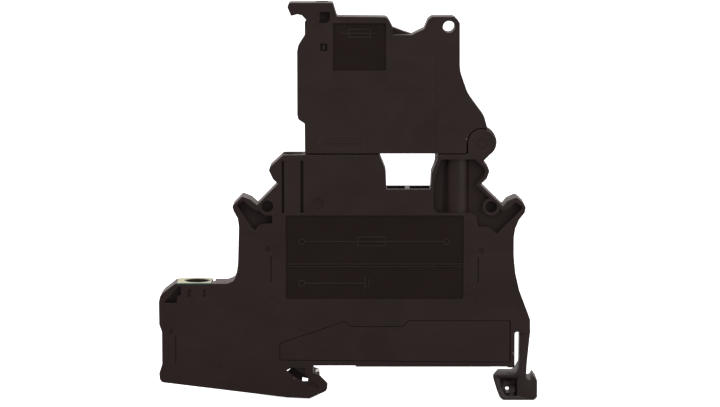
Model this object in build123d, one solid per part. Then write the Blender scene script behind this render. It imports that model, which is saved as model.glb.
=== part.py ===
"""Lever-type cartridge-fuse terminal block for 35 mm DIN rail, with an extra earth terminal.

Millimetres. The origin is on the rail seat plane, midway across the rail and midway through the
block's thickness. +X runs along the block towards the lever hinge and the sprung foot, +Y runs
along the rail from the front face to the rear cover, +Z points away from the rail. "Left" is -X.

Outline tables list (x, z) or (x, z, corner radius).
"""
from build123d import *
import math
import os

# ------------------------------------------------------------------ driving dimensions
FRONT, REAR = -1, 1    # sides of the block along Y
THICK = 6.2            # block pitch along the rail
YF = -THICK / 2        # front face
YR = THICK / 2         # rear face
WALL = 0.8             # front wall and rear cover thickness
YC = YR - WALL         # parting plane between housing and rear cover
YI = YF + WALL         # inside of the front wall
PAST = 1.0             # how far a cut runs beyond the face it opens
EDGE_RADII = (0.12, 0.09, 0.06)   # rounding of the moulded outer edges, in order of preference

# lever hinge
PIVOT_X, PIVOT_Z = 12.75, 40.72
EAR_R = 2.50
EAR_T = 1.35
FRONT_EAR_Y = YF + EAR_T          # inner faces of the two hinge ears
REAR_EAR_Y = YR - EAR_T + 0.05
EAR_SIDE_GAP = 0.12
TONGUE_R = 2.70
PIN_R = 0.88
PIN_CLEAR = 0.05
LEVER_Y = 3.0          # half thickness of the lever
LEVER_GAP = 0.16
LEVER_BOTTOM = 38.82

TOWER_L_TOP = 38.58    # towers at the left and right of the housing
TOWER_R_TOP = 38.66
MID_TOP = 32.4         # floor of the gap between the towers

# screw terminals; "pe" is the earth terminal
SCREW_X = {"left": -21.25, "right": 8.40, "pe": -38.64}
BAR_Z = {"left": 19.9, "right": 19.9, "pe": 5.25}     # underside of the current bar
BAR_T = 0.8
BAR_HALF = 1.23        # half width of the current bars and the earth strip
WIRE_R = 2.05          # wire entry bore
WIRE_R_IN = 1.70
WIRE_DROP = 1.95       # wire axis below the bar
CLAMP_X = 2.6          # half length of the clamping sleeve
CLAMP_Y = 2.0          # half width of the clamping sleeve
CLAMP_WALL = 0.5
CLAMP_GAP = 0.25       # sleeve to chamber, along X
HEAD_R = 1.95
HEAD_H = 2.0
THREAD_R = 1.45
THREAD_ROOT_R = 1.22
THREAD_PITCH = 0.5
DRIVER_R = 1.85        # screwdriver shaft

# cartridge fuse and the blades that touch it
FUSE_X0 = -16.10
FUSE_L = 20.0
FUSE_X1 = FUSE_X0 + FUSE_L
FUSE_Z = 43.86
FUSE_R = 2.60          # end caps
FUSE_GLASS_R = 2.48
CAP_L = 5.0
CAP_END_T = 0.35
BLADE_T = 0.8
BLADE_LEFT = (-17.85, -16.60)
BLADE_RIGHT = (4.35, 5.35)
BLADE_Z = 34.6         # blade tip

# small features shared by several pieces
COUPLING_X, COUPLING_Z, COUPLING_R = 6.76, 61.53, 1.08
PEG_L = (-25.76, 29.32)
PEG_R = (14.48, 29.22)
PEG_HOLE_R = 1.05
PEG_RAD = 0.92
PEG_BOSS_R = 1.55
PIN_FIT_R, PIN_HOLE_R = 0.40, 0.43    # locating pins and their sockets
LATCH_X, LATCH_Z, LATCH_R = 20.71, 6.40, 0.95
LEDGE_Z = 15.25                       # top of the earth terminal shoulder
MARK_X0, MARK_X1 = -42.2, -35.98      # earth marker flange
COLLAR_X0, COLLAR_X1, COLLAR_Y = -41.28, -36.02, 2.57    # earth marker collar
SEAT_GAP, COLLAR_GAP = 0.06, 0.05

SNAPS = [(-29.6, 15.0), (19.0, 28.2), (-44.0, 9.6), (-5.5, 27.0),       # cover pins (x, z)
         (-15.4, 24.2), (11.9, 27.0), (20.3, 8.6), (-25.0, -1.6)]
LEVER_PINS = [(-18.3, 49.3), (5.9, 48.6), (8.0, 59.4), (-17.6, 63.9)]   # (x, z)


# ------------------------------------------------------------------ shape helpers
def face_xz(points, y):
    """Planar face at Y=y. A fourth entry in a point keeps its radius from being limited."""
    corners = []               # (arc start, arc end, arc middle or None)
    count = len(points)
    for i, (x, z, *rest) in enumerate(points):
        radius = rest[0] if rest else 0.0
        unlimited = len(rest) > 1
        ux, uz = points[i - 1][0] - x, points[i - 1][1] - z
        vx, vz = points[(i + 1) % count][0] - x, points[(i + 1) % count][1] - z
        back_len, next_len = math.hypot(ux, uz), math.hypot(vx, vz)
        ux, uz, vx, vz = ux / back_len, uz / back_len, vx / next_len, vz / next_len
        angle = math.acos(max(-1.0, min(1.0, ux * vx + uz * vz)))
        if radius <= 0 or abs(math.pi - angle) < 0.02:
            corners.append(((x, z), (x, z), None))
            continue
        setback = radius / math.tan(angle / 2)
        limit = 0.48 * min(back_len, next_len)
        if setback > limit and not unlimited:
            setback = limit
            radius = setback * math.tan(angle / 2)
        start = (x + ux * setback, z + uz * setback)
        end = (x + vx * setback, z + vz * setback)
        bisect_x, bisect_z = ux + vx, uz + vz
        reach = (radius / math.sin(angle / 2) - radius) / math.hypot(bisect_x, bisect_z)
        corners.append((start, end, (x + bisect_x * reach, z + bisect_z * reach)))
    edges = []
    for i, (start, end, middle) in enumerate(corners):
        if middle is not None:
            edges.append(ThreePointArc((start[0], y, start[1]), (middle[0], y, middle[1]),
                                       (end[0], y, end[1])))
        following = corners[(i + 1) % count][0]
        if math.hypot(following[0] - end[0], following[1] - end[1]) > 1e-4:
            edges.append(Line((end[0], y, end[1]), (following[0], y, following[1])))
    return Face(Wire(edges))


def polygon(points):
    """Flat face through straight-sided 3D points."""
    return Face(Wire(Polyline(*points, close=True).edges()))


def prism(points, y0, y1):
    return extrude(face_xz(points, y0), amount=y1 - y0, dir=(0, 1, 0))


def box(x0, x1, y0, y1, z0, z1):
    return Pos((x0 + x1) / 2, (y0 + y1) / 2, (z0 + z1) / 2) * Box(x1 - x0, y1 - y0, z1 - z0)


def cyl_y(x, z, r, y0, y1):
    return Pos(x, (y0 + y1) / 2, z) * (Rot(90, 0, 0) * Cylinder(r, y1 - y0))


def cyl_z(x, r, z0, z1):
    return Pos(x, 0, (z0 + z1) / 2) * Cylinder(r, z1 - z0)


def cyl_x(z, r, x0, x1):
    return Pos((x0 + x1) / 2, 0, z) * (Rot(0, 90, 0) * Cylinder(r, x1 - x0))


def cone_x(z, x0, r0, x1, r1):
    turn = 90 if x1 > x0 else -90
    return Pos((x0 + x1) / 2, 0, z) * (Rot(0, turn, 0) * Cone(r0, r1, abs(x1 - x0)))


def frame(x0, x1, y0, y1, z0, z1, w):
    """Rectangular frame of line width w."""
    return box(x0, x1, y0, y1, z0, z1) - box(x0 + w, x1 - w, y0 - 0.1, y1 + 0.1, z0 + w, z1 - w)


def inward(side, depth, face_y=YR):
    """Y range of a cut that opens a front or rear face and goes depth into it."""
    return sorted((side * (face_y + PAST), side * (face_y - depth)))


def pocket(points, side, depth, face_y=YR):
    return prism(points, *inward(side, depth, face_y))


def cavity(points, y0=YI):
    """Hollow from y0 out through the parting plane."""
    return prism(points, y0, YC + PAST)


def half_y(side, depth, past=0.0):
    """Y range from past the mid plane out to depth on one side."""
    return sorted((side * depth, -side * past))


def strip(path, t):
    """Polygon of a bent strip of thickness t along an XZ centre line, mitred at the bends."""
    normals = []
    for (xa, za), (xb, zb) in zip(path, path[1:]):
        length = math.hypot(xb - xa, zb - za)
        normals.append((-(zb - za) / length, (xb - xa) / length))
    left, right = [], []
    for i, (x, z) in enumerate(path):
        before = normals[max(i - 1, 0)]
        after = normals[min(i, len(normals) - 1)]
        nx, nz = before[0] + after[0], before[1] + after[1]
        length = math.hypot(nx, nz)
        nx, nz = nx / length, nz / length
        offset = t / 2 / (nx * before[0] + nz * before[1])
        left.append((x + nx * offset, z + nz * offset))
        right.append((x - nx * offset, z - nz * offset))
    return left + right[::-1]


def rounded(points, r):
    return [(x, z, r) for x, z in points]


def soften(solid, y):
    """Round every edge in the plane Y=y; chamfer, go smaller or leave it sharp if that fails."""
    edges = [e for e in solid.edges()
             if abs(e.bounding_box().min.Y - y) < 1e-4 and abs(e.bounding_box().max.Y - y) < 1e-4]
    for radius in EDGE_RADII:
        for operation, size in ((fillet, radius), (chamfer, radius * 0.7)):
            # the kernel may refuse a size on the short outline segments
            try:
                result = operation(edges, size)
                if (result is not None and result.volume > 0
                        and len(result.solids()) == len(solid.solids())):
                    return result
            except Exception:
                pass
    return solid


def fillet_or_keep(body, edges, radius):
    """Filleted body, or the body as it is where the kernel refuses the fillet."""
    try:
        return fillet(edges, radius)
    except Exception:
        return body


def without_slivers(shape):
    """The shape's solids, largest first, dropping slivers."""
    solids = sorted(shape.solids(), key=lambda s: -s.volume)
    solids = [s for s in solids if s.volume > 0.01]
    return solids[0] if len(solids) == 1 else Compound(solids)


# ------------------------------------------------------------------ housing outline
LEFT_SIDE = [
    (-5.62, 38.62, 0.12), (-22.9, 38.58, 0.35), (-25.25, 36.45, 0.2), (-25.5, 35.8, 0.3),
    (-24.75, 34.2, 0.7), (-23.85, 33.4, 0.12), (-27.68, 29.5, 0.22), (-28.75, 30.5, 0.3),
    (-30.35, 31.12, 0.45), (-32.12, 29.3, 0.5), (-31.85, 28.4, 0.6), (-31.12, 27.1, 0.9),
    (-30.92, 25.6, 2.0), (-31.12, 19.0, 5.0), (-31.4, 16.9, 1.4), (-31.95, 15.75, 0.6),
    (-33.1, LEDGE_Z, 1.0), (-42.5, LEDGE_Z, 0.25), (-44.65, 13.6, 0.25), (-45.25, 12.85, 0.4),
    (-45.45, 11.9, 0.6), (-45.43, 7.75, 0.5), (-44.95, 6.4, 0.5), (-44.95, 0.5, 0.8),
    (-45.5, -1.2, 0.8), (-45.35, -2.82, 0.9), (-22.3, -5.66, 3.0), (-18.3, -5.85, 0.9),
    (-15.35, -4.5, 0.35), (-15.03, -3.95, 0.3), (-15.1, -2.92, 0.4), (-16.5, -1.5, 0.25),
    (-17.6, -1.06, 0.12), (-17.6, 0.22, 0.1), (-9.95, 0.22), (-9.85, 0.0), (14.45, 0.0),
    (14.5, 0.02), (17.55, 0.02), (17.65, -0.14), (18.88, -0.14, 0.15), (18.87, 6.40, 0.42),
]
RIGHT_SIDE = [
    (21.66, 6.40), (21.64, 8.7, 0.9), (19.65, 13.95, 5.0), (18.9, 17.2, 6.0), (18.6, 20.3, 5.0),
    (18.6, 23.8, 2.5), (18.85, 25.3, 1.0), (19.5, 26.85, 1.0), (20.52, 28.15, 0.5),
    (20.7, 29.1, 0.4), (20.35, 29.8, 0.5), (19.4, 30.7, 0.4), (18.9, 30.92, 0.25),
    (17.38, 30.25, 0.25), (16.62, 29.26, 0.2), (12.53, 33.25, 0.12), (13.65, 34.3, 0.6),
    (14.14, 35.65, 0.5), (13.9, 36.3, 0.4),
]
PLAIN_SHOULDER = [(13.12, 37.4, 0.2), (14.35, TOWER_R_TOP, 0.2)]
# disc on a short neck, drawn as a square with full-radius corners
EAR_FLAT = EAR_R * (math.sqrt(2) - 1)
EAR = [
    (PIVOT_X + EAR_R - (PIVOT_Z - EAR_FLAT - 37.4), 37.4, 0.2),
    (PIVOT_X + EAR_R, PIVOT_Z - EAR_FLAT, EAR_R, "unlimited"),
    (PIVOT_X + EAR_R, PIVOT_Z + EAR_R, EAR_R, "unlimited"),
    (PIVOT_X - EAR_R, PIVOT_Z + EAR_R, EAR_R, "unlimited"),
    (PIVOT_X - EAR_R, TOWER_R_TOP, 0.4),
]
TOP_MID = [(5.42, TOWER_R_TOP), (5.0, 38.45), (3.72, 35.25, 0.5), (3.57, MID_TOP),
           (-4.37, MID_TOP), (-4.48, 35.75, 0.5)]
OUTLINE_MID = LEFT_SIDE + RIGHT_SIDE + PLAIN_SHOULDER + TOP_MID
OUTLINE_EAR = LEFT_SIDE + RIGHT_SIDE + EAR + TOP_MID

# ------------------------------------------------------------------ recesses in the outer faces
LEFT_RECESS = [
    (-31.2, 29.4), (-30.95, 29.95, 0.2), (-30.05, 30.35, 0.2), (-29.05, 29.35),
    (-27.83, 28.62, 0.2), (-27.15, 28.55, 0.1), (-26.75, 28.05), (-26.2, 27.68, 0.2),
    (-24.92, 27.66), (-24.92, 26.21), (-26.6, 26.15, 0.2), (-27.4, 25.78), (-27.95, 25.0),
    (-28.5, 25.4),
]
SHOULDER_RECESS = [(16.35, 28.55, 0.2), (16.7, 28.5, 0.2), (17.55, 28.85), (18.9, 30.1),
                   (19.95, 29.35, 0.3), (20.05, 28.85, 0.2), (15.5, 24.3)]
RIGHT_RECESS = [
    (5.42, 37.8, 0.2), (11.5, 37.8, 0.1), (12.42, 37.0), (13.38, 36.0, 0.3), (13.42, 35.6, 0.2),
    (13.05, 34.65, 0.3), (11.85, 33.45, 0.1), (11.85, 33.08, 0.1), (15.6, 29.35),
    *SHOULDER_RECESS, (14.8, 24.87), (14.0, 25.59), (12.2, 25.59), (11.9, 26.8),
    (11.75, 27.6, 0.1), (10.7, 28.12, 0.1), (4.6, 28.12, 0.6), (4.05, 29.2, 0.8),
    (4.05, 33.4, 2.0), (4.6, 35.6, 1.0),
]
REAR_RIGHT_RECESS = [(11.85, 33.08), (15.0, 29.95), *SHOULDER_RECESS,
                     (14.0, 25.59), (12.2, 25.59)]
EARTH_RECESS = [(-44.55, 11.8, 0.1), (-41.85, 14.72, 0.1), (-41.45, 14.72), (-41.45, 13.2),
                (-42.1, 13.05), (-42.2, 11.7)]
LABEL = [(-22.5, 27.66, 0.2), (9.55, 27.66, 0.4), (9.55, 12.47, 0.5), (-22.5, 12.47, 0.4)]
REAR_LABEL = [(-15.2, 27.2, 0.4), (2.6, 27.2, 0.4), (2.6, 13.4, 0.4), (-15.2, 13.4, 0.4)]
BAY_OPENING = [(-23.68, 1.2), (-23.68, 4.36), (-11.83, 8.42), (-10.86, 7.47), (-1.34, 7.47),
               (-0.4, 8.52), (18.12, 8.52), (18.12, 0.82), (3.0, 0.92)]
REAR_BAY_RECESS = [(-23.4, 1.3), (-23.4, 4.2), (-11.7, 8.1), (17.8, 8.1), (17.8, 1.1)]

# rectangular slots: (x0, x1, z0, z1, depth)
FRONT_SLOTS = [
    (-23.2, -22.72, 28.14, 37.55, 0.9), (-19.84, -19.26, 28.14, 37.55, 0.9),
    (-40.25, -39.65, 12.85, 14.25, 0.42), (-37.43, -37.0, 12.85, 14.25, 0.42),
    (-40.25, -37.0, 12.85, 14.25, 0.08),
]
REAR_SLOTS = [(x0, x1, z0, z1, 0.35) for x0, x1, z0, z1 in (
    (-23.2, -22.72, 28.14, 37.55), (-19.84, -19.26, 28.14, 37.55),
    (-40.36, -39.86, 9.4, 12.8), (-37.4, -36.97, 9.4, 12.8),
    (6.4, 6.9, 28.4, 37.6), (9.9, 10.4, 28.4, 37.6))]
# round dimples: (x, z, radius, depth)
FRONT_DIMPLES = [
    (-25.7, 21.5, 0.5, 0.3), (12.69, 21.2, 0.5, 0.3), (-43.2, 6.5, 0.5, 0.28),
    (-16.67, 29.75, 1.05, 0.22), (-34.3, 0.0, 0.5, 0.14), (11.66, 12.05, 0.35, 0.1),
    (-25.0, 12.8, 0.35, 0.1),
]
REAR_DIMPLES = [(x, z, 0.9, 0.15) for x, z in (
    (-28.0, 8.0), (-6.3, 10.6), (14.0, 17.8), (-34.5, -1.5), (-10.5, 33.5))]
# upright grooves beside the wire entries: (centre x, z0, z1)
FRONT_GROOVES = [(-25.14, 15.6, 20.3), (12.2, 15.4, 20.0), (-42.47, 0.75, 5.7)]
GROOVE_HALF, GROOVE_DEPTH = 0.15, 0.26

# ------------------------------------------------------------------ fixed rail foot
FOOT_SLOT = [(-22.6, -0.62, 0.1), (-21.75, -0.05, 0.1), (-21.2, -0.15), (-18.31, -2.2, 0.1),
             (-18.85, -3.15, 0.1), (-19.7, -2.65)]
WINDOW = [(-19.68, -2.2), (-18.52, -2.42), (-18.88, -3.12), (-19.68, -2.62)]
WINDOW_REAR = [(-19.68, -2.2), (-18.52, -2.42), (-18.7, -3.75), (-19.68, -3.75)]
SLOPED_HOLE = [(-22.55, -0.62), (-21.72, -0.12), (-21.86, -0.40), (-22.36, -0.80)]
HOOK_BACK = [(-16.55, -1.48), (-15.02, -3.0), (-13.5, -2.0), (-15.0, 0.5), (-16.55, 0.5)]
SLOT_STEP = [(-21.2, -0.12), (-19.12, -0.12), (-18.98, -1.3), (-18.36, -2.1), (-18.6, -2.3)]
SLOT_END = [(-18.4, -2.25), (-16.45, -3.5, 0.15), (-16.75, -3.95, 0.15), (-18.8, -3.15)]


def sloping(points, y0):
    """Prism that drops 0.19 mm for every millimetre towards the rear."""
    return extrude(face_xz(points, y0), amount=7.5, dir=(0, 0.9825, -0.1862))


def cut_foot_slopes(body):
    """Hole at the upper end of the foot slot and the back of the hook tip, both sloping."""
    body -= sloping(SLOPED_HOLE, YF)
    hook = sloping(HOOK_BACK, YF + 0.15)
    return body - (hook & box(-16.8, -13, YF, YR + PAST, -4.5, -0.6))


# ------------------------------------------------------------------ inner cavities
CHAMBER_X = {side: [x - CLAMP_X - CLAMP_GAP, x + CLAMP_X + CLAMP_GAP]
             for side, x in SCREW_X.items()}
CHAMBER_X["left"][1] = -16.4     # widened to take in the current bar's riser
CHAMBER_X["right"][0] = 4.15
CHAMBER_RISE = 6.4               # chamber top above the underside of the bar
# terminal, bore x0, x1, cone from wide x to narrow x, throat x0, x1
WIRE_FUNNELS = [
    ("left", -33.0, -27.0, -27.02, -25.1, -25.2, -24.0),
    ("right", 14.4, 20.5, 14.42, 12.2, 11.0, 12.3),
    ("pe", -47.0, -43.0, -43.02, -42.2, -42.3, -41.3),
]
# x0, x1, y0, y1, z0, z1
TOWER_CAVITIES = [
    (-18.65, -16.15, -0.6, 0.6, 37.0, 39.0),           # left blade slot
    (-18.65, -15.9, YI + 0.3, YC + PAST, 29.6, 37.6),  # left contact chamber
    (-18.1, -16.2, -1.6, YC + PAST, 25.0, 30.0),       # left riser
    (-14.9, -6.6, YI, YC + PAST, 23.6, 37.6),          # hollow beside it
    (4.2, 5.5, -1.35, YC + PAST, 29.4, 37.8),          # right fork chamber
    (2.5, 5.5, -0.6, 0.6, 33.9, 39.0),                 # side slot for the swinging blade
    (4.15, 5.35, -1.35, YC + PAST, 25.0, 29.6),        # right riser
    (-4.28, -1.02, YI, YC + PAST, 22.6, 33.0),         # shafts either side of the middle web
    (-0.18, 3.42, YI, YC + PAST, 22.6, 33.0),
]
# hollows that keep the wall thickness even: (y of the floor, outline)
HOLLOWS = [
    (YI, [(-14.9, 9.9, 0.3), (-14.9, 22.4, 0.3), (3.0, 21.4, 0.3), (3.0, 10.6, 0.3),
          (-1.9, 9.9)]),
    (YI + 0.4, [(-30.0, 20.8, 0.3), (-30.0, 24.4, 0.3), (-24.9, 24.4, 0.3), (-24.9, 20.8, 0.3)]),
    (YI, [(-24.2, 9.4, 0.3), (-24.2, 14.1, 0.3), (-16.0, 14.1, 0.3), (-16.0, 9.4, 0.3)]),
    (YI, [(-33.8, 7.2, 0.3), (-33.8, 13.3, 0.3), (-25.3, 13.3, 0.3), (-25.3, 7.2, 0.3)]),
    (YI, [(4.2, 9.8, 0.3), (4.2, 13.9, 0.3), (16.8, 13.9, 0.3), (18.3, 9.8, 0.3)]),
    (YI + 0.2, [(12.9, 20.9, 0.3), (12.9, 24.3, 0.3), (14.6, 24.3, 0.2), (15.4, 23.4),
                (17.6, 24.4, 0.2), (17.6, 20.9, 0.3)]),
    (YI, [(-43.0, -1.7, 0.3), (-35.0, -1.7, 0.3), (-23.6, -3.2, 0.3), (-23.6, -4.5, 0.3),
          (-43.0, -2.2, 0.2)]),
]
PE_Z = BAR_Z["pe"] + BAR_T / 2
PE_PATH = [(-41.2, PE_Z), (-34.9, PE_Z), (-32.4, 3.3), (-24.6, 2.6), (-20.55, 1.35),
           (-20.5, -4.32), (-16.87, -4.32), (-16.87, -1.22)]     # earth strip centre line
PE_CHANNEL_PATH = [(-36.5, PE_Z)] + PE_PATH[1:-1] + [(-16.87, -0.5)]
SPRING_BAY = [(-23.0, 1.42), (-23.0, 3.9), (-11.9, 7.7), (-10.6, 6.8), (-1.0, 6.8), (0.0, 7.8),
              (17.4, 7.8), (17.4, 1.3)]


# ------------------------------------------------------------------ housing
def housing_blank():
    """Front slab with the hinge ear, and the plain slab behind it."""
    front = prism(OUTLINE_EAR, YF, FRONT_EAR_Y)
    front = soften(front.solids()[0], YF)
    front -= cyl_y(LATCH_X, LATCH_Z, LATCH_R + 0.05, YF - PAST, FRONT_EAR_Y + PAST)
    back = prism(OUTLINE_MID, FRONT_EAR_Y, YC)
    back -= cyl_y(LATCH_X, LATCH_Z, LATCH_R + 0.05, YF, YR)
    back -= cyl_y(PIVOT_X, PIVOT_Z, TONGUE_R + 0.15, FRONT_EAR_Y, YR)
    return front + back


def cut_slots(body, side, slots):
    for x0, x1, z0, z1, depth in slots:
        body -= box(x0, x1, *inward(side, depth), z0, z1)
    return body


def cut_dimples(body, side, dimples):
    for x, z, radius, depth in dimples:
        body -= cyl_y(x, z, radius, *inward(side, depth))
    return body


def shape_front_face(body):
    body -= pocket(LEFT_RECESS, FRONT, 2.0)
    body -= pocket(RIGHT_RECESS, FRONT, 1.5)
    body -= pocket(EARTH_RECESS, FRONT, 1.5)
    # boss around the right peg hole, and the screw shaft wall that shows in the right recess
    body += cyl_y(*PEG_R, PEG_BOSS_R, YF + 0.02, YF + 1.7)
    body += cyl_z(SCREW_X["right"], 2.62, 28.0, 37.95) & box(4, 13, YF, 0, 27, 39)
    body = cut_slots(body, FRONT, FRONT_SLOTS)
    body -= box(5.72, 6.42, YF, -0.95, 28.25, 37.75)
    body -= pocket(LABEL, FRONT, 0.28)
    body -= pocket(BAY_OPENING, FRONT, WALL)
    body = cut_dimples(body, FRONT, FRONT_DIMPLES)
    for x, z0, z1 in FRONT_GROOVES:
        body -= box(x - GROOVE_HALF, x + GROOVE_HALF, *inward(FRONT, GROOVE_DEPTH), z0, z1)
    # peg holes for the neighbouring block
    for x, z in (PEG_L, PEG_R):
        body -= cyl_y(x, z, PEG_HOLE_R, *inward(FRONT, 1.6))
    return body


def label_symbols():
    """Raised field lines and circuit symbols in the label recess."""
    y0, y1 = YF + 0.12, YF + 0.30
    ring_r, line_w = 0.62, 0.2

    def bar(x0, x1, z0, z1):
        return box(x0, x1, y0, y1, z0, z1)

    def ring(x, z):
        return cyl_y(x, z, ring_r, y0, y1) - cyl_y(x, z, ring_r - line_w, y0 - 0.1, y1 + 0.1)

    symbols = bar(-22.45, 9.5, 18.74, 18.9)
    pieces = [
        bar(-22.45, 9.5, 18.28, 18.4),
        # upper field: terminal - fuse - terminal
        ring(-19.6, 22.9), ring(6.4, 22.9),
        bar(-19.0, -9.4, 22.8, 23.0), bar(-4.6, 5.8, 22.8, 23.0),
        frame(-9.6, -4.4, y0, y1, 22.0, 23.8, line_w), bar(-9.5, -4.5, 22.8, 23.0),
        # lower field: terminal - earth
        ring(-19.6, 15.3), bar(-19.0, -8.2, 15.2, 15.4),
        bar(-8.3, -8.1, 14.1, 16.5), bar(-7.6, -7.4, 14.5, 16.1), bar(-6.9, -6.7, 14.9, 15.7),
    ]
    for piece in pieces:
        symbols += piece
    return symbols


def shape_fixed_foot(body):
    """Slanting slot in the foot with a window through its lower end."""
    body -= pocket(FOOT_SLOT, FRONT, 1.6)
    body -= prism(WINDOW, YF - PAST, YR + PAST)
    body -= prism(WINDOW_REAR, YI, YR + PAST)
    body = cut_foot_slopes(body)
    body -= pocket(SLOT_STEP, FRONT, 0.6)
    body -= pocket(SLOT_END, FRONT, 0.3)
    return body


def cut_terminals(body):
    """Clamp chambers, screw shafts and wire funnels."""
    for side, screw_x in SCREW_X.items():
        x0, x1 = CHAMBER_X[side]
        bottom = BAR_Z[side] - WIRE_DROP * 2 - 1.05
        top = BAR_Z[side] + CHAMBER_RISE
        body -= box(x0, x1, YI, YC + PAST, bottom, top)
        body -= cyl_z(screw_x, HEAD_R + 0.08, top - 0.1, top + HEAD_H + 0.25)
    for side in ("left", "right"):
        body -= cyl_z(SCREW_X[side], DRIVER_R, 28.0, 40.0)
    for side, top in (("left", TOWER_L_TOP), ("right", TOWER_R_TOP)):
        body -= Pos(SCREW_X[side], 0, top - 0.3) * Cone(DRIVER_R, DRIVER_R + 0.5, 0.62)
    for side, bore0, bore1, wide, narrow, throat0, throat1 in WIRE_FUNNELS:
        wire_z = BAR_Z[side] - WIRE_DROP
        body -= cyl_x(wire_z, WIRE_R, bore0, bore1)
        body -= cone_x(wire_z, wide, WIRE_R, narrow, WIRE_R_IN)
        body -= cyl_x(wire_z, WIRE_R_IN, throat0, throat1)
    return body


def cut_marker_seat(body, flange_y, collar_y):
    """Seat for the earth marker's flange and collar, each over its (y0, y1) range."""
    body -= box(MARK_X0 - SEAT_GAP, MARK_X1 + SEAT_GAP, *flange_y, LEDGE_Z - 0.09, 16.0)
    return body - box(COLLAR_X0 - COLLAR_GAP, COLLAR_X1 + COLLAR_GAP, *collar_y, 13.35, 16.0)


def make_housing():
    body = shape_front_face(housing_blank())
    body += label_symbols()
    body += box(10.35, 10.55, YF - 0.05, YF + 0.1, 13.0, 26.9)    # rib right of the label
    body = shape_fixed_foot(body)
    body = cut_terminals(body)
    # earth marker seat and the driver opening inside it
    body = cut_marker_seat(body, (YF - PAST, YC + PAST), (-COLLAR_Y - COLLAR_GAP, YC + PAST))
    body += cyl_z(SCREW_X["pe"], 2.3, 13.3, LEDGE_Z + 0.05) & box(-43, -34, -3, YC, 13, 16)
    body -= cyl_z(SCREW_X["pe"], 2.05, 13.2, 16.0)
    body -= box(-35.9, -35.4, 0.25, YC + PAST, 14.2, 16.0)
    for limits in TOWER_CAVITIES:
        body -= box(*limits)
    for floor_y, outline in HOLLOWS:
        body -= cavity(outline, floor_y)
    body -= cavity(strip(PE_CHANNEL_PATH, 1.2), -1.35)
    body -= prism(SPRING_BAY, YI - 0.5, 1.3)
    for x, z in SNAPS:
        body -= cyl_y(x, z, PIN_HOLE_R, 0.6, YC + PAST)
    body -= cyl_y(PIVOT_X, PIVOT_Z, PIN_R + PIN_CLEAR, YF - PAST, FRONT_EAR_Y + 0.2)
    return body


def make_rear_cover():
    body = prism(OUTLINE_EAR, YC, YR)
    body = soften(body.solids()[0], YR)
    body -= cyl_y(LATCH_X, LATCH_Z, LATCH_R + 0.05, YC - PAST, YR + PAST)
    # thicken the hinge ear inwards
    body += prism(OUTLINE_EAR, REAR_EAR_Y, YC) & box(9.2, 17, 1, YC, 38.78, 44)
    body -= pocket(REAR_LABEL, REAR, 0.22)
    for outline in (LEFT_RECESS, EARTH_RECESS, REAR_RIGHT_RECESS):
        body -= pocket(outline, REAR, 0.4)
    body += cyl_y(*PEG_R, PEG_BOSS_R, YC + 0.1, YR - 0.02)
    body = cut_slots(body, REAR, REAR_SLOTS)
    body -= pocket(REAR_BAY_RECESS, REAR, 0.15)
    body = cut_dimples(body, REAR, REAR_DIMPLES)
    # snap pins, with a dimple behind each
    for x, z in SNAPS:
        body += cyl_y(x, z, PIN_FIT_R, 0.9, YC + 0.1)
        body -= cyl_y(x, z, PIN_FIT_R, *inward(REAR, 0.12))
    # pegs that enter the neighbouring block
    for x, z in (PEG_L, PEG_R):
        body += cyl_y(x, z, PEG_RAD, YR - 0.1, YR + 1.2)
    body -= prism(WINDOW_REAR, YC - PAST, YR + PAST)
    body = cut_foot_slopes(body)
    body = cut_marker_seat(body, (YC - PAST, YR + PAST), (YC - PAST, COLLAR_Y + COLLAR_GAP))
    body -= box(-35.9, -35.4, YC - PAST, YR + PAST, 14.2, 16.0)
    body -= cyl_y(PIVOT_X, PIVOT_Z, PIN_R + PIN_CLEAR, 0, YR + PAST)
    return body


# ------------------------------------------------------------------ insert over the foot bay
BAY_GAP = 0.12
# shift (dx, dz) of each point of BAY_OPENING
BAY_INSET = [(BAY_GAP, BAY_GAP), (BAY_GAP, -0.7 * BAY_GAP), (-0.02, -BAY_GAP),
             (-0.04, -BAY_GAP), (0.04, -BAY_GAP), (0.04, -BAY_GAP), (-0.2, -BAY_GAP),
             (-0.2, BAY_GAP), (0.0, BAY_GAP)]


def make_foot_bay_cover():
    outline = [(x + dx, z + dz) for (x, z), (dx, dz) in zip(BAY_OPENING, BAY_INSET)]
    body = prism(outline, YF + 0.03, YI)
    body -= cyl_y(-6.2, 4.2, 0.9, *inward(FRONT, 0.12))
    body -= box(1.0, 10.0, *inward(FRONT, 0.07), 2.55, 2.75)
    for x, z in ((-21.6, 2.7), (16.4, 6.2)):
        body += cyl_y(x, z, 0.45, YI, YI + 0.45)
    return body


# ------------------------------------------------------------------ sprung rail foot
LATCH = [
    (19.85, 6.37), (19.84, 0.2, 1.2), (18.9, -1.45, 0.9), (14.98, -1.48, 0.1), (15.0, -2.1, 0.3),
    (15.72, -4.4, 1.0), (16.22, -5.6, 0.6), (16.85, -6.12, 0.5), (22.4, -6.12, 0.45),
    (23.0, -5.6, 0.45), (23.0, -2.55, 0.15), (22.3, -1.58, 0.1), (21.95, -2.25, 0.3),
    (21.5, -2.45, 0.35), (20.98, -2.1, 0.4), (21.08, 0.4, 1.0), (21.42, 3.95, 2.0),
    (21.66, 6.37),
]
LATCH_POCKET = [(16.2, -2.1, 0.1), (19.33, -2.1, 0.1), (19.37, -5.45, 0.2), (17.2, -5.3, 0.3),
                (16.5, -3.9, 0.3)]
LATCH_WINDOW = [(17.3, -3.95, 0.1), (18.05, -3.95), (18.05, -5.05), (17.4, -5.05, 0.1)]
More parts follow.
